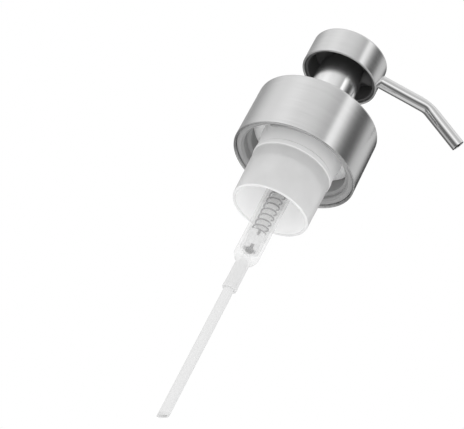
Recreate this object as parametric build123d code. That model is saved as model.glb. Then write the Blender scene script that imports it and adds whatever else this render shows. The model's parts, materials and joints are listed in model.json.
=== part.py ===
from build123d import *
import os
from math import cos, radians, sin

# Foaming pump dispenser head for a 40 mm screw neck. Millimetres, +Z up, spout towards +X.
# The origin is the centre of the sealing plane, where the neck gasket meets the lip of the jar.

# Driving dimensions
COLLAR_R = 24.0
COLLAR_TOP = 13.1
COLLAR_BOTTOM = -10.7
STEEL = 0.8
HEAD_R = 15.15
HEAD_BOTTOM = 34.1
HEAD_TOP = 46.4
HEAD_WALL = 0.9
SLEEVE_R = 8.8
SPOUT_R = 2.6
SPOUT_BORE_R = 2.1
SPOUT_Z = 42.25
SPOUT_RUN = 20.25
SPOUT_DROP_RUN = 19.2
SPOUT_ANGLE = 28.0
SPOUT_BEND_R = 12.0
THREAD_ROOT_R = 20.6
THREAD_CREST_R = 19.3
THREAD_PITCH = 4.233
THREAD_TURNS = 1.25
THREAD_START = -135.0
SPIGOT_R = 16.0
FLANGE_R = 20.2
AIR_BORE_R = 14.2
BODY_R = 15.15
BODY_BOTTOM_R = 14.75
BODY_BOTTOM = -32.1
FLOOR_TOP = -14.5
FLOOR_BOTTOM = -15.9
LIQUID_BORE_R = 3.75
LIQUID_R = 4.8
LIQUID_BOTTOM = -55.1
SOCKET_BOTTOM = -67.4
TUBE_R = 1.85
TUBE_BORE_R = 1.3
TUBE_BOTTOM = -120.8
TUBE_CUT = 26.0
BALL_R = 1.6
SPRING_R = 2.7
SPRING_WIRE_R = 0.3
SPRING_FOOT = -43.0
SPRING_HEAD = -20.8
SPRING_TURNS = 8.6
PIN_R = 1.8
ROD_NECK_R = 2.45
PRESS_STROKE = 16.0
FLOAT_STROKE = 1.2

# Clearances
FIT = 0.05
SLIDE = 0.08
LIP = 0.07

# Derived heights at rest
SHELL_IN_R = COLLAR_R - STEEL
LID_UNDER = COLLAR_TOP - STEEL
INSERT_BOTTOM = COLLAR_BOTTOM + 1.1
GASKET_TOP = 1.0
FLANGE_TOP = 2.5
CHAMBER_TOP = 8.0
GUIDE_BOTTOM = 6.6
SHOE_BOTTOM = FLOOR_TOP + PRESS_STROKE + 0.1
SHOE_TOP = SHOE_BOTTOM + 0.8
NECK_BOTTOM = SPRING_HEAD + 0.8
HUB_BOTTOM = SHOE_TOP + FIT
HUB_TOP = HUB_BOTTOM + 2.5
SHOULDER = HUB_TOP + FLOAT_STROKE + FIT
SLEEVE_BOTTOM = 7.3
SLEEVE_BORE_R = SLEEVE_R - 0.5
STEM_R = 6.5
STEM_TOP = 37.5
BALL_SEAT_R = 1.0
BALL_SINK = BALL_R * 2 ** 0.5 - BALL_SEAT_R + FIT
OUTLET_SEAT = 4.5
CHAMBER_CEILING = 8.8
INLET_SEAT = -51.0
CAGE_FOOT = INLET_SEAT + 1.0
CORE_R = HEAD_R - HEAD_WALL - FIT
CORE_PLATE = 42.9
SLEEVE_TOP = CORE_PLATE - FIT
CORE_SOCKET_R = SLEEVE_BORE_R - FIT
ARM_R = 3.6
SEAL_X = 11.6

os.makedirs("parts", exist_ok=True)


def turned(points, rounds=None):
    """Solid of revolution about Z from (radius, height) points; rounds gives the fillet of a point."""
    face = make_face(Polyline(*points, close=True))
    for point, radius in (rounds or {}).items():
        corner = face.vertices().sort_by_distance(Vector(*point, 0))[0]
        face = fillet(corner, radius)
    return revolve(Plane.XZ * face, Axis.Z)


def tube(r_in, r_out, low, high):
    """Plain tube between two heights."""
    return turned([(r_in, low), (r_out, low), (r_out, high), (r_in, high)])


def disc(radius, low, high):
    """Plain solid disc between two heights."""
    return Pos(0, 0, low) * Cylinder(radius, high - low, align=(Align.CENTER, Align.CENTER, Align.MIN))


def around(count, radius, shape):
    """Copies of a shape spread evenly on a circle."""
    return [place * shape for place in PolarLocations(radius, count)]


def along_spout(start, end, radius):
    """Solid rod on the spout's axis, between two distances from the pump's axis."""
    return Pos((start + end) / 2, 0, SPOUT_Z) * Rot(0, 90, 0) * Cylinder(radius, end - start)


def save(shape, name):
    """Writes one node to its own file."""
    export_step(shape, f"parts/{name}.step")


def collar_shell():
    """Deep-drawn steel collar with a rounded lower edge and a hole for the bush in its lid."""
    hole_r = 9.7
    edge = STEEL / 2 - 0.02
    outline = [
        (SHELL_IN_R, COLLAR_BOTTOM), (COLLAR_R, COLLAR_BOTTOM), (COLLAR_R, COLLAR_TOP),
        (hole_r, COLLAR_TOP), (hole_r, LID_UNDER), (SHELL_IN_R, LID_UNDER),
    ]
    rounds = {
        (COLLAR_R, COLLAR_BOTTOM): edge,
        (SHELL_IN_R, COLLAR_BOTTOM): edge,
        (COLLAR_R, COLLAR_TOP): 1.1,
        (SHELL_IN_R, LID_UNDER): 0.4,
    }
    return turned(outline, rounds)


def thread_ridge():
    """Single-start right-hand ridge of the neck thread, 1.25 turns."""
    foot = INSERT_BOTTOM + 1.1
    path = Pos(0, 0, foot) * Helix(THREAD_PITCH, THREAD_PITCH * THREAD_TURNS, THREAD_ROOT_R)
    root = THREAD_ROOT_R + 0.2
    profile = Polyline((root, -1.0), (THREAD_CREST_R, -0.4), (THREAD_CREST_R, 0.4), (root, 1.0), close=True)
    ridge = sweep(Pos(0, 0, foot) * (Plane.XZ * make_face(profile)), path, is_frenet=True)
    return Rot(0, 0, THREAD_START) * ridge


def thread_insert():
    """Moulded ring inside the collar: the neck thread, and a shoulder that presses on the pump's flange."""
    outer = SHELL_IN_R - FIT
    skin = outer - 1.1
    shoulder = FLANGE_TOP + 0.1
    shelf = shoulder + 1.6
    top = LID_UNDER - 0.5
    outline = [
        (THREAD_ROOT_R + 0.8, INSERT_BOTTOM), (outer, INSERT_BOTTOM), (outer, top), (skin, top),
        (skin, shelf), (17.6, shelf), (17.6, shoulder), (THREAD_ROOT_R, shoulder),
        (THREAD_ROOT_R, INSERT_BOTTOM + 0.8),
    ]
    return turned(outline, {(outer, INSERT_BOTTOM): 0.3}) + thread_ridge()


def collar_bush():
    """Snap-in ring that centres the plunger in the collar's lid."""
    bore = SLEEVE_R + SLIDE
    neck = 9.65
    rim = 10.3
    foot = LID_UNDER - 1.2
    low = COLLAR_TOP + 0.02
    high = COLLAR_TOP + 0.42
    outline = [
        (bore, foot), (11.5, foot), (11.5, LID_UNDER - FIT), (neck, LID_UNDER - FIT), (neck, low),
        (rim, low), (rim, high), (bore, high),
    ]
    return turned(outline, {(rim, high): 0.25})


def pump_body():
    """Translucent housing: air chamber, flange, open skirt, liquid cylinder, ball seat and tube socket."""
    skirt_in = BODY_BOTTOM_R - 1.25
    neck_r = 15.0
    bead_r = 15.45
    foot_r = LIQUID_R - 0.1
    foot_top = LIQUID_BOTTOM + 2.0
    cone_r = 3.5
    socket_r = 2.58
    lip_r = 2.72
    lip_top = SOCKET_BOTTOM + 1.4
    socket_in = TUBE_R + FIT
    tube_stop = LIQUID_BOTTOM - 0.7
    throat = 1.5
    throat_top = INLET_SEAT - 1.0
    outline = [
        (AIR_BORE_R, CHAMBER_TOP), (16.2, CHAMBER_TOP), (16.2, FLANGE_TOP), (FLANGE_R, FLANGE_TOP),
        (FLANGE_R, GASKET_TOP), (15.7, GASKET_TOP), (15.7, -0.3), (SPIGOT_R, -0.3), (SPIGOT_R, -3.4),
        (neck_r, -10.5), (bead_r, -11.0), (bead_r, -12.6), (BODY_R, -13.2), (BODY_BOTTOM_R, BODY_BOTTOM),
        (skirt_in, BODY_BOTTOM), (AIR_BORE_R - 0.3, FLOOR_BOTTOM), (LIQUID_R, FLOOR_BOTTOM),
        (foot_r, foot_top), (cone_r, LIQUID_BOTTOM), (socket_r, LIQUID_BOTTOM),
        (socket_r, lip_top + 0.2), (lip_r, lip_top), (lip_r, SOCKET_BOTTOM), (socket_in, SOCKET_BOTTOM),
        (socket_in, tube_stop), (throat, tube_stop), (throat, throat_top), (BALL_SEAT_R, throat_top),
        (BALL_SEAT_R, INLET_SEAT), (BALL_SEAT_R + 1.0, CAGE_FOOT), (LIQUID_BORE_R, CAGE_FOOT),
        (LIQUID_BORE_R, FLOOR_TOP - 0.6), (LIQUID_BORE_R + 0.5, FLOOR_TOP), (AIR_BORE_R, FLOOR_TOP),
    ]
    rounds = {
        (BODY_BOTTOM_R, BODY_BOTTOM): 0.55,
        (skirt_in, BODY_BOTTOM): 0.4,
        (AIR_BORE_R - 0.3, FLOOR_BOTTOM): 1.5,
        (LIQUID_R, FLOOR_BOTTOM): 0.8,
        (foot_r, foot_top): 1.0,
        (cone_r, LIQUID_BOTTOM): 0.5,
        (socket_r, LIQUID_BOTTOM): 0.4,
        (lip_r, SOCKET_BOTTOM): 0.25,
        (bead_r, -11.0): 0.15,
        (bead_r, -12.6): 0.2,
    }
    return turned(outline, rounds)


def neck_gasket():
    """Foam washer, hooked over the spigot's bead by a thin inner lip."""
    outer = FLANGE_R + 0.1
    inner = 15.75
    return turned([(16.2, 0.0), (outer, 0.0), (outer, GASKET_TOP), (inner, GASKET_TOP), (inner, 0.5)])


def guide_ring():
    """Cover snapped on the air chamber, with the guide for the plunger and four air vents."""
    bore = SLEEVE_R + SLIDE
    guide_r = 9.9
    plug_r = AIR_BORE_R - FIT
    lid = CHAMBER_TOP + FIT
    top = lid + 1.2
    guide_top = LID_UNDER - 1.4
    outline = [
        (bore, GUIDE_BOTTOM), (guide_r, GUIDE_BOTTOM), (guide_r, lid), (13.1, lid), (13.1, GUIDE_BOTTOM),
        (plug_r, GUIDE_BOTTOM), (plug_r, lid), (16.25, lid), (16.25, 4.6), (17.0, 4.6), (17.0, top),
        (guide_r, top), (guide_r, guide_top), (bore, guide_top),
    ]
    vent = disc(0.6, lid - 1.0, lid + 3.0)
    return turned(outline, {(17.0, top): 0.5}) - around(4, 11.3, vent)


def ball_cage():
    """Cage for the inlet ball, seat for the spring, and the hollow pin that guides spring and rod."""
    ceiling = INLET_SEAT + BALL_SINK + FLOAT_STROKE + BALL_R + 0.2
    seat_r = LIQUID_BORE_R - FIT
    foot = CAGE_FOOT + 0.02
    pin_top = SPRING_HEAD - 0.5
    pin_bore = 0.9
    outline = [
        (pin_bore, pin_top), (PIN_R, pin_top), (PIN_R, SPRING_FOOT), (seat_r, SPRING_FOOT),
        (seat_r, SPRING_FOOT - 0.6), (2.65, SPRING_FOOT - 0.9), (2.65, foot), (1.9, foot), (1.9, ceiling),
        (pin_bore, ceiling),
    ]
    window = Pos(0, 0, CAGE_FOOT + 0.8) * Box(1.2, 8.0, 1.6)
    flow_gap = Pos(0, 0, SPRING_FOOT) * Box(1.0, 12.0, 3.0)
    return turned(outline) - window - Rot(0, 0, 90) * window - flow_gap


def return_spring():
    """Round-wire compression spring between the ball cage and the plunger rod."""
    low = SPRING_FOOT + SPRING_WIRE_R + 0.02
    high = SPRING_HEAD - SPRING_WIRE_R - 0.02
    path = Pos(0, 0, low) * Helix((high - low) / SPRING_TURNS, high - low, SPRING_R)
    wire = Plane(origin=path @ 0, z_dir=path % 0) * Circle(SPRING_WIRE_R)
    return sweep(wire, path, is_frenet=True)


def ball(seat):
    """Steel ball resting in a 45 degree seat."""
    return Pos(0, 0, seat + BALL_SINK) * Sphere(BALL_R)


def dip_tube():
    """Suction tube in its socket, cut at a slant so that it can't seal on the jar's floor."""
    whole = tube(TUBE_BORE_R, TUBE_R, TUBE_BOTTOM, LIQUID_BOTTOM - 0.75)
    block = Box(12.0, 12.0, 6.0, align=(Align.MIN, Align.CENTER, Align.MAX))
    return whole - Pos(-TUBE_R, 0, TUBE_BOTTOM) * Rot(0, -TUBE_CUT, 0) * block


def piston_rod():
    """Hollow rod from the spring up to the stem: it slides on the pin and carries the outlet seat."""
    bore = PIN_R + SLIDE
    bore_top = SPRING_HEAD + PRESS_STROKE + 1.0
    outline = [
        (bore, SPRING_HEAD), (3.05, SPRING_HEAD), (3.05, NECK_BOTTOM), (ROD_NECK_R, NECK_BOTTOM),
        (ROD_NECK_R, -15.1), (3.1, -15.1), (3.1, SHOE_BOTTOM), (5.2, SHOE_BOTTOM), (5.2, SHOE_TOP),
        (3.0, SHOE_TOP), (3.0, OUTLET_SEAT + 1.0), (BALL_SEAT_R + 1.0, OUTLET_SEAT + 1.0),
        (BALL_SEAT_R, OUTLET_SEAT), (BALL_SEAT_R, bore_top), (bore, bore_top),
    ]
    return turned(outline)


def liquid_piston():
    """Soft piston with a lip at each end, on the rod in the liquid cylinder."""
    low = NECK_BOTTOM + FIT
    high = -15.15
    inner = ROD_NECK_R + FIT
    waist = 3.1
    lip = LIQUID_BORE_R - LIP
    outline = [
        (inner, low), (lip, low), (lip, low + 0.6), (waist, low + 1.3), (waist, high - 1.3),
        (lip, high - 0.6), (lip, high), (inner, high),
    ]
    return turned(outline)


def piston_stem():
    """Hollow plunger: air piston spool, ball chamber, mixing chamber with air holes, and long barrel."""
    spool = 4.2
    rod_fit = 3.0 + FIT
    barrel_in = STEM_R - 0.8
    rod_stop = OUTLET_SEAT + 1.05
    floor = CHAMBER_CEILING + 1.0
    outline = [
        (rod_fit, HUB_BOTTOM), (spool, HUB_BOTTOM), (spool, SHOULDER), (STEM_R, SHOULDER),
        (STEM_R, STEM_TOP), (barrel_in, STEM_TOP), (barrel_in, 13.0), (5.3, 13.0), (5.3, floor),
        (1.0, floor), (1.0, CHAMBER_CEILING), (2.1, CHAMBER_CEILING), (2.1, rod_stop), (rod_fit, rod_stop),
    ]
    air_hole = disc(0.4, SHOULDER - 1.0, floor + 1.0)
    groove_length = SHOULDER - HUB_BOTTOM + 1.0
    groove = Pos(0, 0, (HUB_BOTTOM + SHOULDER) / 2) * Box(0.6, 0.8, groove_length)
    bypass = Pos(0, 0, floor - 0.5) * Box(3.4, 0.6, 3.0)
    stem = turned(outline) - around(6, 4.75, air_hole) - around(6, spool, groove)
    return stem - bypass


def air_piston():
    """Wide cup piston with two lips, a hub that floats on the stem's spool, and air inlet holes."""
    lip = AIR_BORE_R - SLIDE
    wall_in = 12.6
    wall_out = 13.4
    web_low = HUB_BOTTOM + 0.8
    web_high = HUB_BOTTOM + 1.7
    low = HUB_BOTTOM - 0.75
    high = HUB_TOP + 0.15
    outline = [
        (4.3, HUB_BOTTOM), (5.6, HUB_BOTTOM), (5.6, web_low), (wall_in, web_low), (wall_in, low),
        (lip, low), (lip, low + 0.4), (wall_out, low + 1.0), (wall_out, high - 1.0), (lip, high - 0.4),
        (lip, high), (wall_in, high), (wall_in, web_high), (5.6, web_high), (5.6, HUB_TOP), (4.3, HUB_TOP),
    ]
    hole = disc(0.5, HUB_BOTTOM, HUB_TOP)
    return turned(outline) - around(8, 7.6, hole)


def air_valve():
    """Soft flap ring under the air piston's inlet holes."""
    top = HUB_BOTTOM + 0.78
    outline = [(5.65, top - 0.6), (6.4, top - 0.6), (9.0, top - 0.25), (9.0, top), (5.65, top)]
    return turned(outline)


def mesh_holder():
    """Cartridge in the stem's barrel that carries the two foaming screens."""
    r = STEM_R - 0.8 - FIT
    outline = [
        (4.6, 13.5), (5.1, 13.5), (5.1, 13.1), (r, 13.1), (r, 27.0), (5.1, 27.0), (5.1, 26.6), (4.6, 26.6),
    ]
    return turned(outline)


def mesh(low, pitch, hole_r):
    """Thin round screen with a square grid of holes."""
    screen = disc(5.05, low, low + 0.3)
    hole = disc(hole_r, low - 0.5, low + 0.8)
    count = int(4.3 / pitch)
    spots = [
        (i * pitch, j * pitch)
        for i in range(-count, count + 1)
        for j in range(-count, count + 1)
        if (i * i + j * j) ** 0.5 * pitch < 4.3
    ]
    return screen - [Pos(x, y, 0) * hole for x, y in spots]


def stem_sleeve():
    """Polished steel tube pressed on the head core's socket, with a notch for the spout's arm."""
    outline = [
        (SLEEVE_BORE_R, SLEEVE_BOTTOM), (SLEEVE_R, SLEEVE_BOTTOM), (SLEEVE_R, SLEEVE_TOP),
        (SLEEVE_BORE_R, SLEEVE_TOP),
    ]
    notch_r = ARM_R + FIT
    notch_top = Pos(SLEEVE_R, 0, SPOUT_Z + 2.0) * Box(4.0, 2 * notch_r, 4.0)
    notch = along_spout(SLEEVE_R - 2.0, SLEEVE_R + 2.0, notch_r) + notch_top
    return turned(outline, {(SLEEVE_R, SLEEVE_BOTTOM): 0.2}) - notch


def head_core():
    """Moulded core of the head: liner, socket for the stem, and arm and bore for the spout."""
    roof = HEAD_TOP - HEAD_WALL - FIT
    bore_top = roof - 1.0
    liner_in = CORE_R - 0.9
    liner_foot = HEAD_BOTTOM + 1.0
    stem_in = STEM_R + SLIDE
    stem_stop = STEM_TOP + 0.2
    outline = [
        (stem_in, 31.0), (CORE_SOCKET_R, 31.0), (CORE_SOCKET_R, CORE_PLATE), (liner_in, CORE_PLATE),
        (liner_in, liner_foot), (CORE_R, liner_foot), (CORE_R, roof), (0.0, roof), (0.0, bore_top),
        (5.2, bore_top), (5.2, stem_stop), (stem_in, stem_stop),
    ]
    arm = along_spout(CORE_SOCKET_R - 0.5, liner_in + 0.1, ARM_R) & disc(CORE_R, HEAD_BOTTOM, roof)
    core = turned(outline) + arm
    spout_bore = along_spout(6.4, 14.4, SPOUT_R + FIT)
    inner_bore = along_spout(4.0, 8.0, SPOUT_BORE_R)
    seal_groove = along_spout(SEAL_X - 0.7, SEAL_X + 0.7, SPOUT_R + 0.55)
    return core - spout_bore - inner_bore - seal_groove


def head_cap():
    """Brushed steel cap with a rounded rim, a softly rounded top edge and the hole for the spout."""
    inner = HEAD_R - HEAD_WALL
    under = HEAD_TOP - HEAD_WALL
    edge = HEAD_WALL / 2 - 0.02
    outline = [
        (inner, HEAD_BOTTOM), (HEAD_R, HEAD_BOTTOM), (HEAD_R, HEAD_TOP), (0.0, HEAD_TOP), (0.0, under),
        (inner, under),
    ]
    rounds = {
        (HEAD_R, HEAD_TOP): 1.2,
        (HEAD_R, HEAD_BOTTOM): edge,
        (inner, HEAD_BOTTOM): edge,
    }
    return turned(outline, rounds) - along_spout(HEAD_R - 2.0, HEAD_R + 2.0, SPOUT_R + 0.05)


def spout_tube():
    """Steel tube: straight out of the head, one bend down, and a square-cut mouth."""
    start = Vector(6.5, 0, SPOUT_Z)
    knee = Vector(HEAD_R + SPOUT_RUN, 0, SPOUT_Z)
    angle = radians(SPOUT_ANGLE)
    end = knee + Vector(cos(angle), 0, -sin(angle)) * SPOUT_DROP_RUN
    path = FilletPolyline(start, knee, end, radius=SPOUT_BEND_R)
    base = Plane(origin=start, z_dir=(1, 0, 0))
    return sweep(base * (Circle(SPOUT_R) - Circle(SPOUT_BORE_R)), path)


def spout_seal():
    """Rubber ring round the spout in the core's arm."""
    ring_in = SPOUT_R + 0.03
    ring_out = SPOUT_R + 0.5
    section = Pos((ring_in + ring_out) / 2, 0, 0) * Circle((ring_out - ring_in) / 2)
    ring = revolve(Plane.XZ * section, Axis.Z)
    return Pos(SEAL_X, 0, SPOUT_Z) * Rot(0, 90, 0) * ring


save(collar_shell(), "collar_shell")
save(thread_insert(), "thread_insert")
save(collar_bush(), "collar_bush")
save(pump_body(), "pump_body")
save(neck_gasket(), "neck_gasket")
save(guide_ring(), "guide_ring")
save(ball_cage(), "ball_cage")
save(return_spring(), "return_spring")
save(ball(INLET_SEAT), "inlet_ball")
save(ball(OUTLET_SEAT), "outlet_ball")
save(dip_tube(), "dip_tube")
save(piston_rod(), "piston_rod")
save(liquid_piston(), "liquid_piston")
save(piston_stem(), "piston_stem")
save(air_piston(), "air_piston")
save(air_valve(), "air_valve")
save(mesh_holder(), "mesh_holder")
save(mesh(13.15, 1.1, 0.35), "coarse_mesh")
save(mesh(26.65, 0.85, 0.25), "fine_mesh")
save(stem_sleeve(), "stem_sleeve")
save(head_core(), "head_core")
save(head_cap(), "head_cap")
save(spout_tube(), "spout_tube")
save(spout_seal(), "spout_seal")
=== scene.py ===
"""Looks for the foaming pump head: camera, studio, materials, and the pieces that Blender shapes."""
import json
import math

import bpy
from mathutils import Matrix, Vector


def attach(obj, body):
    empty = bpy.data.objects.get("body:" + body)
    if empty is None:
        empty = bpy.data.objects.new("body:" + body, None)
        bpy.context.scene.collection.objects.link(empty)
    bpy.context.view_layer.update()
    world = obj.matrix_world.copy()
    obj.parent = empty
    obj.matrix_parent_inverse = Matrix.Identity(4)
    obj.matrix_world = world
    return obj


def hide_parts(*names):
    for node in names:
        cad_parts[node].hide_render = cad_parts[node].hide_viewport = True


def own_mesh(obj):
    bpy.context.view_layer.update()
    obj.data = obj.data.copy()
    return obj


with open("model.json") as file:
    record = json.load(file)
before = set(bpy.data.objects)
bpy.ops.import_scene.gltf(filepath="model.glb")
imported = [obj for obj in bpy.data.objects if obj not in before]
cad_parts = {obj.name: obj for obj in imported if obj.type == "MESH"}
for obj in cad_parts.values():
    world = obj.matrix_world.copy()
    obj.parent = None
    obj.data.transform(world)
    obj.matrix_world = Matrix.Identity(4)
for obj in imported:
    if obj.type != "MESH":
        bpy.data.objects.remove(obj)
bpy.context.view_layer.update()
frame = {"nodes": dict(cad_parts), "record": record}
MM = 0.001

# Camera: it stands below the pump, looks up at it, and is rolled so that the pump leans to the right
LOOK_UP = math.radians(29.56)
ROLL = math.radians(28.26)
AZIMUTH = math.radians(-0.9)
DISTANCE = 523.0 * MM
LENS = 109.3
SENSOR = 36.0
AIM_RIGHT = 28.74 * MM
AIM_UP = 29.55 * MM
AIM_HEIGHT = 4.9 * MM

# Studio
FLOOR_Z = -0.45
FLOOR_SIZE = 6.0


def make_camera():
    """The camera of the picture. Its axes come from the look-up angle, the roll and the azimuth."""
    turn = Matrix.Rotation(AZIMUTH, 3, "Z")
    forward = turn @ Vector((0.0, math.cos(LOOK_UP), math.sin(LOOK_UP)))
    level_up = turn @ Vector((0.0, -math.sin(LOOK_UP), math.cos(LOOK_UP)))
    level_right = turn @ Vector((1.0, 0.0, 0.0))
    right = math.cos(ROLL) * level_right + math.sin(ROLL) * level_up
    up = math.cos(ROLL) * level_up - math.sin(ROLL) * level_right
    place = -AIM_RIGHT * right - AIM_UP * up - DISTANCE * forward + Vector((0, 0, AIM_HEIGHT))
    data = bpy.data.cameras.new("camera")
    data.lens = LENS
    data.sensor_width = SENSOR
    data.sensor_fit = "HORIZONTAL"
    data.clip_start = 0.01
    data.clip_end = 50.0
    camera = bpy.data.objects.new("camera", data)
    camera.matrix_world = Matrix((
        (right.x, up.x, -forward.x, place.x),
        (right.y, up.y, -forward.y, place.y),
        (right.z, up.z, -forward.z, place.z),
        (0.0, 0.0, 0.0, 1.0),
    ))
    bpy.context.scene.collection.objects.link(camera)
    bpy.context.scene.camera = camera


# Node helpers
class Nodes:
    """Short names for adding and joining shader nodes in one tree."""

    def __init__(self, tree):
        self.tree = tree
        self.tree.nodes.clear()

    def add(self, kind, inputs=None, **settings):
        """A node, with its settings and its inputs, which are values or other sockets."""
        node = self.tree.nodes.new(kind)
        for name, value in settings.items():
            setattr(node, name, value)
        for name, value in (inputs or {}).items():
            if isinstance(value, bpy.types.NodeSocket):
                self.tree.links.new(value, node.inputs[name])
            else:
                node.inputs[name].default_value = value
        return node

    def math(self, operation, a, b=None, c=None):
        """A math node's result."""
        inputs = {0: a}
        if b is not None:
            inputs[1] = b
        if c is not None:
            inputs[2] = c
        return self.add("ShaderNodeMath", inputs, operation=operation).outputs[0]

    def ramp(self, value, stops):
        """A colour ramp with (position, grey or colour) stops."""
        node = self.add("ShaderNodeValToRGB", {0: value})
        points = node.color_ramp.elements
        while len(points) > 1:
            points.remove(points[-1])
        for index, (position, colour) in enumerate(stops):
            point = points[0] if index == 0 else points.new(position)
            point.position = position
            rgb = (colour,) * 3 if isinstance(colour, (int, float)) else colour
            point.color = (*rgb, 1.0)
        return node.outputs[0]

    def mix(self, share, a, b):
        """Blend of two colours."""
        node = self.add("ShaderNodeMix", data_type="RGBA")
        for socket, value in ((node.inputs[0], share), (node.inputs[6], a), (node.inputs[7], b)):
            if isinstance(value, bpy.types.NodeSocket):
                self.tree.links.new(value, socket)
            else:
                socket.default_value = value if not isinstance(value, tuple) else (*value, 1.0)
        return node.outputs[2]


# The studio as the steel sees it: brightness by direction round the pump, from the camera, left negative
STUDIO = [
    (-180, 0.36), (-168, 0.60), (-158, 0.62), (-148, 0.55), (-128, 0.64), (-112, 0.75), (-98, 0.81),
    (-84, 0.81), (-70, 0.85), (-56, 0.86), (-36, 0.80), (-16, 0.78), (0, 0.73), (20, 0.62), (25, 0.64),
    (29, 0.92), (38, 0.92), (46, 0.74), (56, 0.46), (66, 0.25), (78, 0.20), (88, 0.40), (98, 0.66),
    (112, 0.71), (124, 0.73), (134, 0.60), (146, 0.22), (156, 0.20), (164, 0.30), (180, 0.36),
]
# Below the horizon, one panel in front and one behind: brightness from straight down (0) to level (0.5)
FRONT_LOW = [(0.0, 0.30), (0.10, 0.13), (0.20, 0.12), (0.30, 0.45), (0.42, 0.85), (0.55, 0.80)]
BACK_LOW = [(0.0, 0.55), (0.15, 0.50), (0.24, 0.13), (0.55, 0.11)]
STUDIO_GAIN = 1.35
STUDIO_ABOVE = 0.62
DISPLAY_GAMMA = 2.2


def make_world():
    """Even white light, with bright and dark panels round the pump that only the gloss shows."""
    world = bpy.data.worlds.new("studio")
    bpy.context.scene.world = world
    world.use_nodes = True
    n = Nodes(world.node_tree)
    direction = n.add("ShaderNodeTexCoord").outputs["Generated"]
    turned = n.add("ShaderNodeVectorRotate", {"Vector": direction, "Angle": math.pi / 2 - AZIMUTH},
                   rotation_type="Z_AXIS")
    part = n.add("ShaderNodeSeparateXYZ", {0: turned.outputs[0]})
    angle = n.math("ARCTAN2", part.outputs["Y"], part.outputs["X"])
    share = n.math("MULTIPLY_ADD", angle, 0.5 / math.pi, 0.5)
    panels = n.ramp(share, [((a + 180) / 360, level ** DISPLAY_GAMMA) for a, level in STUDIO])
    height = n.math("MULTIPLY_ADD", part.outputs["Z"], 0.5, 0.5)
    overhead = n.ramp(height, [(0.80, 0.0), (0.97, 1.0)])
    underfoot = n.ramp(height, [(0.50, 1.0), (0.62, 0.0)])
    sides = n.mix(overhead, panels, (STUDIO_ABOVE,) * 3)
    front = n.ramp(share, [(0.14, 0.0), (0.30, 1.0), (0.70, 1.0), (0.86, 0.0)])
    front_low = n.ramp(height, FRONT_LOW)
    back_low = n.ramp(height, BACK_LOW)
    studio = n.mix(underfoot, sides, n.mix(front, back_low, front_low))
    glossy = n.add("ShaderNodeLightPath").outputs["Is Glossy Ray"]
    white = n.add("ShaderNodeBackground", {"Color": (1, 1, 1, 1), "Strength": 1.0})
    panel_light = n.add("ShaderNodeBackground", {"Color": studio, "Strength": STUDIO_GAIN})
    both = n.add("ShaderNodeMixShader", {0: glossy, 1: white.outputs[0], 2: panel_light.outputs[0]})
    n.add("ShaderNodeOutputWorld", {"Surface": both.outputs[0]})


def make_floor():
    """Pale floor, far below the dip tube. It lights the pump from below and is not mirrored in the steel."""
    half = FLOOR_SIZE / 2
    mesh = bpy.data.meshes.new("floor")
    corners = [(-half, -half, FLOOR_Z), (half, -half, FLOOR_Z), (half, half, FLOOR_Z), (-half, half, FLOOR_Z)]
    mesh.from_pydata(corners, [], [(0, 1, 2, 3)])
    floor = bpy.data.objects.new("floor", mesh)
    bpy.context.scene.collection.objects.link(floor)
    material = bpy.data.materials.new("floor_paint")
    material.use_nodes = True
    n = Nodes(material.node_tree)
    surface = n.add("ShaderNodeBsdfPrincipled", {
        "Base Color": (0.85, 0.85, 0.85, 1), "Roughness": 0.9,
        "Emission Color": (1, 1, 1, 1), "Emission Strength": 0.35,
    })
    n.add("ShaderNodeOutputMaterial", {"Surface": surface.outputs[0]})
    mesh.materials.append(material)
    floor.visible_glossy = False


# Materials. The brush lines' noise, in cells per metre: along a line, and across the lines
LINE_BREAKS = 60.0
LINE_DENSITY = 9000.0
PLASTIC_IOR = 1.49


def new_material(name):
    """An empty node material and its node helper."""
    material = bpy.data.materials.new(name)
    material.use_nodes = True
    return material, Nodes(material.node_tree)


def finish_material(n, surface, bump=None):
    """Joins the shader to the output, with its bump."""
    if bump is not None:
        n.tree.links.new(bump, surface.inputs["Normal"])
    n.add("ShaderNodeOutputMaterial", {"Surface": surface.outputs[0]})


def turned_lines(n):
    """Noise stretched into fine rings round the pump's axis, stacked up walls and spread over flat tops."""
    place = n.add("ShaderNodeTexCoord").outputs["Object"]
    part = n.add("ShaderNodeSeparateXYZ", {0: place})
    flat = n.add("ShaderNodeCombineXYZ", {0: part.outputs["X"], 1: part.outputs["Y"]})
    radius = n.add("ShaderNodeVectorMath", {0: flat.outputs[0]}, operation="LENGTH").outputs["Value"]
    along = n.math("ADD", part.outputs["Z"], radius)
    lines = n.add("ShaderNodeCombineXYZ", {
        0: n.math("MULTIPLY", part.outputs["X"], LINE_BREAKS),
        1: n.math("MULTIPLY", part.outputs["Y"], LINE_BREAKS),
        2: n.math("MULTIPLY", along, LINE_DENSITY),
    })
    return n.add("ShaderNodeTexNoise", {
        "Vector": lines.outputs[0], "Scale": 1.0, "Detail": 3.0, "Roughness": 0.6,
    })


def steel(name, colour, roughness, streak, anisotropy=0.7):
    """Stainless steel brushed round the axis, with its highlight stretched across the brush lines."""
    material, n = new_material(name)
    lines = turned_lines(n)
    shade = n.ramp(lines.outputs["Fac"], [(0.3, tuple(c * (1 - streak) for c in colour)), (0.7, colour)])
    rough = n.math("MULTIPLY_ADD", lines.outputs["Fac"], roughness * 0.4, roughness * 0.8)
    tangent = n.add("ShaderNodeTangent", direction_type="RADIAL", axis="Z")
    bump = n.add("ShaderNodeBump", {"Strength": 0.05, "Distance": 0.00002, "Height": lines.outputs["Fac"]})
    surface = n.add("ShaderNodeBsdfPrincipled", {
        "Base Color": shade, "Metallic": 1.0, "Roughness": rough, "Anisotropic": anisotropy,
        "Anisotropic Rotation": 0.25, "Tangent": tangent.outputs[0],
    })
    finish_material(n, surface, bump.outputs[0])
    return material


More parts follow.
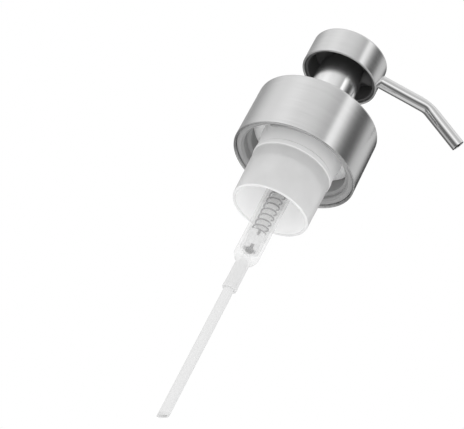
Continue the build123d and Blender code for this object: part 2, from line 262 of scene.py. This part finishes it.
def polished(name, colour, roughness):
    """Bright steel with faint drawing marks."""
    material, n = new_material(name)
    place = n.add("ShaderNodeTexCoord").outputs["Object"]
    noise = n.add("ShaderNodeTexNoise", {"Vector": place, "Scale": 900.0, "Detail": 2.0})
    rough = n.math("MULTIPLY_ADD", noise.outputs["Fac"], roughness * 0.6, roughness * 0.7)
    surface = n.add("ShaderNodeBsdfPrincipled", {
        "Base Color": (*colour, 1), "Metallic": 1.0, "Roughness": rough,
    })
    finish_material(n, surface)
    return material


def plastic(name, colour, roughness, mottle=0.03, painted_glow=0.0):
    """Moulded plastic with a faint mottle, and a painted glow: emission that stands in for light scattered
    inside it.
    """
    material, n = new_material(name)
    place = n.add("ShaderNodeTexCoord").outputs["Object"]
    noise = n.add("ShaderNodeTexNoise", {"Vector": place, "Scale": 120.0, "Detail": 2.0})
    shade = n.ramp(noise.outputs["Fac"], [(0.35, tuple(c * (1 - mottle) for c in colour)), (0.65, colour)])
    # The emission is painted light: the plastic glows though it is no lamp.
    surface = n.add("ShaderNodeBsdfPrincipled", {
        "Base Color": shade, "Roughness": roughness, "IOR": PLASTIC_IOR,
        "Emission Color": (1, 1, 1, 1), "Emission Strength": painted_glow,
    })
    finish_material(n, surface)
    return material


# The frosted housing's zones
CHAMBER_FOOT = -12.9 * MM
CHAMBER_FLOOR = -16.2 * MM
SKIRT_INNER_R = 14.3 * MM
CYLINDER_R = 5.2 * MM
CYLINDER_FOOT = -54.5 * MM
SKIRT_RIM = -31.8 * MM
MILKY_BODY = 0.80
CLEAR_BODY = 0.25


def frosted(name):
    """Frosted housing: milky round the chamber and clearer round the spring, with painted light: a paler
    colour round the chamber and on the skirt's rim, a near-white colour inside the skirt, and a painted glow
    strongest inside the skirt and round the chamber.
    """
    material, n = new_material(name)
    place = n.add("ShaderNodeTexCoord").outputs["Object"]
    part = n.add("ShaderNodeSeparateXYZ", {0: place})
    height = part.outputs["Z"]
    flat = n.add("ShaderNodeCombineXYZ", {0: part.outputs["X"], 1: part.outputs["Y"]})
    radius = n.add("ShaderNodeVectorMath", {0: flat.outputs[0]}, operation="LENGTH").outputs["Value"]
    below_floor = n.math("LESS_THAN", height, CHAMBER_FLOOR)
    narrow = n.math("MULTIPLY", n.math("LESS_THAN", radius, CYLINDER_R), below_floor)
    hollow = n.math("MULTIPLY", n.math("LESS_THAN", radius, SKIRT_INNER_R), below_floor)
    above_rim = n.math("GREATER_THAN", height, SKIRT_RIM)
    clear = n.math("MULTIPLY", narrow, n.math("GREATER_THAN", height, CYLINDER_FOOT))
    inside = n.math("MULTIPLY", n.math("SUBTRACT", hollow, narrow), above_rim)
    chamber = n.math("GREATER_THAN", height, CHAMBER_FOOT)
    noise = n.add("ShaderNodeTexNoise", {"Vector": place, "Scale": 90.0, "Detail": 3.0})
    milky = n.ramp(noise.outputs["Fac"], [(0.3, 0.55), (0.7, 0.62)])
    rim = n.math("LESS_THAN", height, SKIRT_RIM)
    # The paler colour round the chamber and on the skirt's rim is painted light: it brightens zones that
    # render darker near the collar and at the rim.
    painted_light_pale = n.mix(n.math("MAXIMUM", chamber, rim), milky, (0.78, 0.78, 0.78))
    # The near-white colour inside the skirt is painted light, standing in for light coming through the
    # frosted wall.
    shade = n.mix(inside, painted_light_pale, (0.94, 0.94, 0.94))
    body = n.math("MULTIPLY_ADD", clear, CLEAR_BODY - MILKY_BODY, MILKY_BODY)
    # The emission is a painted glow: strongest inside the skirt, then round the chamber, and faint everywhere
    # else.
    painted_glow = n.math("MULTIPLY_ADD", inside, 0.18, n.math("MULTIPLY_ADD", chamber, 0.08, 0.04))
    bump = n.add("ShaderNodeBump", {"Strength": 0.06, "Distance": 0.0001, "Height": noise.outputs["Fac"]})
    surface = n.add("ShaderNodeBsdfPrincipled", {
        "Base Color": shade, "Roughness": 0.4, "Alpha": body, "IOR": PLASTIC_IOR,
        "Emission Color": (1, 1, 1, 1), "Emission Strength": painted_glow,
    })
    finish_material(n, surface, bump.outputs[0])
    return material


def make_materials():
    """Every finish, by the record's slot name."""
    return {
        "brushed_steel": steel("brushed_steel", (0.80, 0.80, 0.80), 0.24, 0.10),
        "satin_steel": steel("satin_steel", (0.95, 0.95, 0.95), 0.16, 0.04, anisotropy=0.8),
        "polished_steel": polished("polished_steel", (0.80, 0.80, 0.80), 0.12),
        "spring_steel": polished("spring_steel", (0.22, 0.22, 0.22), 0.4),
        "grey_plastic": plastic("grey_plastic", (0.34, 0.34, 0.34), 0.45),
        "white_plastic": plastic("white_plastic", (0.85, 0.85, 0.85), 0.35),
        "frosted_plastic": frosted("frosted_plastic"),
        "natural_plastic": plastic("natural_plastic", (0.86, 0.86, 0.86), 0.35),
        "soft_plastic": plastic("soft_plastic", (0.85, 0.85, 0.85), 0.5),
        "tube_plastic": plastic("tube_plastic", (0.76, 0.76, 0.76), 0.35, mottle=0.0),
        # The gasket's emission is a painted glow that brightens it as if more light reached it.
        "gasket_foam": plastic("gasket_foam", (0.93, 0.93, 0.93), 0.8, mottle=0.06, painted_glow=0.10),
        "screen_plastic": plastic("screen_plastic", (0.85, 0.85, 0.85), 0.6),
        "seal_rubber": plastic("seal_rubber", (0.10, 0.10, 0.10), 0.6),
        "black_plastic": plastic("black_plastic", (0.10, 0.10, 0.10), 0.6),
    }


def dress(materials):
    """Gives each CAD node the finish of its slot in the record."""
    for row in frame["record"]["subparts"]:
        node = frame["nodes"][row["node"]]
        node.data.materials.clear()
        node.data.materials.append(materials[row["material_slot"]])


# The return spring. At full press it keeps just under the length that the rod leaves it
SPRING_FOOT = -43.0 * MM
SPRING_HEAD = -20.8 * MM
SPRING_R = 2.7 * MM
SPRING_WIRE_R = 0.3 * MM
SPRING_OPEN_TURNS = 8.1
SPRING_END_TURNS = 1.0
CLOSED_PITCH = 2.05 * SPRING_WIRE_R
SPRING_STEPS = 32
WIRE_SIDES = 12


def tube_mesh(name, rings, close=False):
    """Mesh whose skin joins each ring of points to the next; close joins the last ring to the first."""
    sides = len(rings[0])
    points = [point for ring in rings for point in ring]
    faces = []
    spans = len(rings) if close else len(rings) - 1
    for i in range(spans):
        this = i * sides
        following = ((i + 1) % len(rings)) * sides
        for k in range(sides):
            m = (k + 1) % sides
            faces.append((this + k, following + k, following + m, this + m))
    if not close:
        faces.append(tuple(range(sides)))
        faces.append(tuple(reversed(range(len(points) - sides, len(points)))))
    mesh = bpy.data.meshes.new(name)
    mesh.from_pydata(points, [], faces)
    mesh.polygons.foreach_set("use_smooth", [len(face) == 4 for face in faces])
    mesh.update()
    piece = bpy.data.objects.new(name, mesh)
    bpy.context.scene.collection.objects.link(piece)
    return piece


def coil_height(turn):
    """Height of the wire's centre after some turns: a closed turn, the open coil, and a closed turn."""
    low = SPRING_FOOT + SPRING_WIRE_R
    closed_rise = CLOSED_PITCH * SPRING_END_TURNS
    open_rise = SPRING_HEAD - SPRING_FOOT - 2 * SPRING_WIRE_R - 2 * closed_rise
    if turn < SPRING_END_TURNS:
        return low + CLOSED_PITCH * turn
    if turn < SPRING_END_TURNS + SPRING_OPEN_TURNS:
        return low + closed_rise + open_rise * (turn - SPRING_END_TURNS) / SPRING_OPEN_TURNS
    rest = turn - SPRING_END_TURNS - SPRING_OPEN_TURNS
    return low + closed_rise + open_rise + CLOSED_PITCH * rest


def make_spring():
    """Compression spring of round wire with a closed turn at each end."""
    turns = SPRING_OPEN_TURNS + 2 * SPRING_END_TURNS
    rings = []
    for step in range(int(turns * SPRING_STEPS) + 1):
        turn = step / SPRING_STEPS
        angle = 2 * math.pi * turn
        out = Vector((math.cos(angle), math.sin(angle), 0.0))
        centre = SPRING_R * out + Vector((0, 0, coil_height(turn)))
        ring = []
        for k in range(WIRE_SIDES):
            side = 2 * math.pi * k / WIRE_SIDES
            ring.append(centre + SPRING_WIRE_R * (math.cos(side) * out + Vector((0, 0, math.sin(side)))))
        rings.append(ring)
    return tube_mesh("spring_coil", rings)


# The spout
SPOUT_R = 2.6 * MM
SPOUT_BORE_R = 2.1 * MM
SPOUT_START = 6.5 * MM
SPOUT_KNEE = Vector((35.4 * MM, 0.0, 42.25 * MM))
SPOUT_ANGLE = math.radians(28.0)
SPOUT_DROP_RUN = 19.2 * MM
SPOUT_SIDES = 64
BEND_REACH = 9.0 * MM
BEND_STEPS = 40
BEND_INNER_R = 2.5 * MM
BEND_OUTER_R = 22.0 * MM
BEND_BULGE = 0.05
MOUTH_ROUND = 0.12 * MM


def spout_point(distance, offset, side):
    """Point of the spout's skin: distance from the knee along the axis, offset outwards, and sideways."""
    half = SPOUT_ANGLE / 2
    along_in = Vector((1.0, 0.0, 0.0))
    along_out = Vector((math.cos(SPOUT_ANGLE), 0.0, -math.sin(SPOUT_ANGLE)))
    outwards = Vector((math.sin(half), 0.0, math.cos(half)))
    corner = SPOUT_KNEE + outwards * (offset / math.cos(half))
    share = (offset / SPOUT_R + 1) / 2
    bend_r = BEND_INNER_R + (BEND_OUTER_R - BEND_INNER_R) * share
    tangent = bend_r * math.tan(half)
    straight = BEND_REACH + offset * math.tan(half) - tangent
    arc = bend_r * half
    bulge = 1.0
    if abs(distance) >= BEND_REACH:
        travel = abs(distance) + offset * math.tan(half)
        line = along_in * -travel if distance < 0 else along_out * travel
    else:
        left = abs(distance) / BEND_REACH * (straight + arc)
        bulge += BEND_BULGE * math.cos(distance / BEND_REACH * math.pi / 2) ** 2
        if left > arc:
            travel = tangent + left - arc
            line = along_in * -travel if distance < 0 else along_out * travel
        else:
            turn = left / bend_r
            lift = bend_r / math.cos(half) - bend_r * math.cos(turn)
            sign = -1.0 if distance < 0 else 1.0
            across = Vector((math.cos(half), 0.0, -math.sin(half)))
            line = across * (sign * bend_r * math.sin(turn)) - outwards * lift
    return corner + line + Vector((0.0, side * bulge, 0.0))


def spout_ring(distance, radius):
    """One ring of points round the spout."""
    ring = []
    for k in range(SPOUT_SIDES):
        angle = 2 * math.pi * k / SPOUT_SIDES
        ring.append(spout_point(distance, radius * math.cos(angle), radius * math.sin(angle)))
    return ring


def make_spout():
    """Steel tube bent over a former: tight on the inside of the bend, stretched and flatter outside."""
    start = SPOUT_START - SPOUT_KNEE.x
    stations = [start, start * 0.75, start * 0.5]
    stations += [BEND_REACH * (2 * i / BEND_STEPS - 1) for i in range(BEND_STEPS + 1)]
    stations += [SPOUT_DROP_RUN * 0.6, SPOUT_DROP_RUN * 0.8, SPOUT_DROP_RUN - 2 * MOUTH_ROUND]
    skin = [spout_ring(distance, SPOUT_R) for distance in stations]
    skin.append(spout_ring(SPOUT_DROP_RUN - MOUTH_ROUND, SPOUT_R))
    for turn in (30, 60, 90):
        angle = math.radians(turn)
        inset = MOUTH_ROUND * (1 - math.cos(angle))
        short = MOUTH_ROUND * (1 - math.sin(angle))
        skin.append(spout_ring(SPOUT_DROP_RUN - short, SPOUT_R - inset))
    bore = [spout_ring(SPOUT_DROP_RUN, SPOUT_BORE_R + MOUTH_ROUND)]
    bore.append(spout_ring(SPOUT_DROP_RUN - MOUTH_ROUND, SPOUT_BORE_R))
    bore += [spout_ring(distance, SPOUT_BORE_R) for distance in reversed(stations)]
    return tube_mesh("bent_spout", skin + bore, close=True)


# The dip tube
TUBE_R = 1.85 * MM
TUBE_BORE_R = 1.3 * MM
TUBE_TOP = -55.85 * MM
TUBE_BOTTOM = -120.8 * MM
TUBE_CUT = math.radians(26.0)
TUBE_SIDES = 40
TUBE_STEPS = 26


def tube_ring(share, radius):
    """One ring of the dip tube: level at the top, and more and more slanted towards the cut."""
    ring = []
    for k in range(TUBE_SIDES):
        angle = 2 * math.pi * k / TUBE_SIDES
        x = radius * math.cos(angle)
        foot = TUBE_BOTTOM + (x + TUBE_R) * math.tan(TUBE_CUT)
        ring.append(Vector((x, radius * math.sin(angle), TUBE_TOP + (foot - TUBE_TOP) * share)))
    return ring


def make_dip_tube():
    """Thin-walled suction tube with its slanted end."""
    shares = [step / TUBE_STEPS for step in range(TUBE_STEPS + 1)]
    skin = [tube_ring(share, TUBE_R) for share in shares]
    bore = [tube_ring(share, TUBE_BORE_R) for share in reversed(shares)]
    return tube_mesh("suction_tube", skin + bore, close=True)


def make_pieces(materials):
    """The pieces that stand for CAD solids, with their bodies and finishes."""
    spring = make_spring()
    spring.data.materials.append(materials["spring_steel"])
    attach(spring, "engine")
    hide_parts("return_spring")
    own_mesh(spring)
    suction = make_dip_tube()
    suction.data.materials.append(materials["tube_plastic"])
    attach(suction, "engine")
    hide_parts("dip_tube")
    spout = make_spout()
    spout.data.materials.append(materials["polished_steel"])
    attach(spout, "head")
    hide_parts("spout_tube")


make_camera()
make_world()
make_floor()
materials = make_materials()
dress(materials)
make_pieces(materials)
bpy.context.scene.view_settings.view_transform = "Standard"
